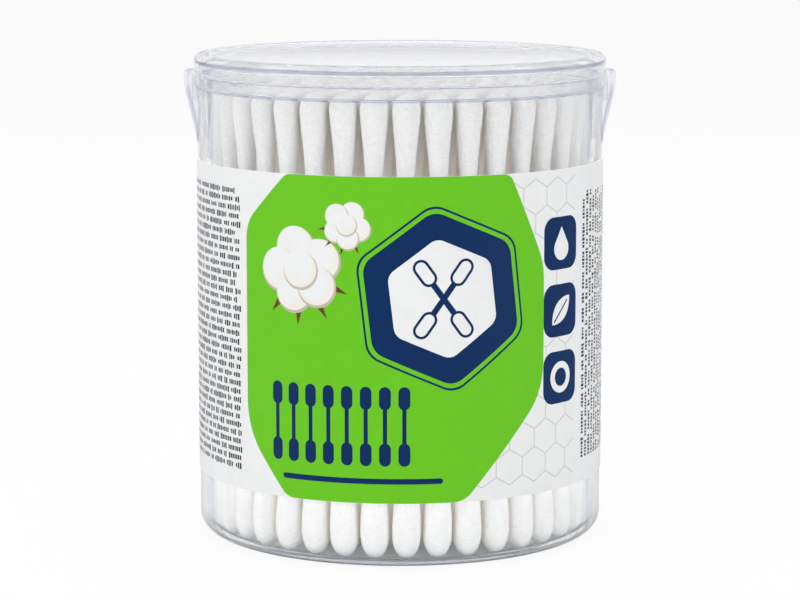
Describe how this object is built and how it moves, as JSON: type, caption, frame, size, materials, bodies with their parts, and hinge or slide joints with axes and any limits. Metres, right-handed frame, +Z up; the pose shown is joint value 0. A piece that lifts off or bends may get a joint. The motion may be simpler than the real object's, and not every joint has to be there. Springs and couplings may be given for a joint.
{
  "type": "round clear tub of cotton swabs",
  "caption": "Clear round plastic tub with a lift-off lid, two side ears and a wrap label, filled with double-ended cotton swabs that stand in rings.",
  "frame": {"origin": "centre of the tub's base, on the surface that it stands on", "axes": "+Z up along the tub's axis; +X towards one of the two side ears; -Y towards the label's front"},
  "size_m": [0.0724, 0.069, 0.0807],
  "materials": {
    "clear_plastic": "clear, polished",
    "label_film": "printed film",
    "paper": "rolled paper",
    "cotton": "wound cotton"
  },
  "bodies": {
    "tub": {"tub": "clear_plastic", "label": "label_film", "ring_1_sticks": "paper", "ring_2_sticks": "paper", "ring_3_sticks": "paper", "ring_4_sticks": "paper", "ring_5_sticks": "paper", "ring_6_sticks": "paper", "ring_7_sticks": "paper", "ring_1_lower_buds": "cotton", "ring_2_lower_buds": "cotton", "ring_3_lower_buds": "cotton", "ring_4_lower_buds": "cotton", "ring_5_lower_buds": "cotton", "ring_6_lower_buds": "cotton", "ring_7_lower_buds": "cotton", "ring_1_upper_buds": "cotton", "ring_2_upper_buds": "cotton", "ring_3_upper_buds": "cotton", "ring_4_upper_buds": "cotton", "ring_5_upper_buds": "cotton", "ring_6_upper_buds": "cotton", "ring_7_upper_buds": "cotton"},
    "lid": {"lid": "clear_plastic"}
  },
  "joints": [
    {"name": "lid_lift", "type": "slide", "parent": "tub", "child": "lid", "axis": [0, 0, 1], "range_m": [0, 0.03]}
  ]
}
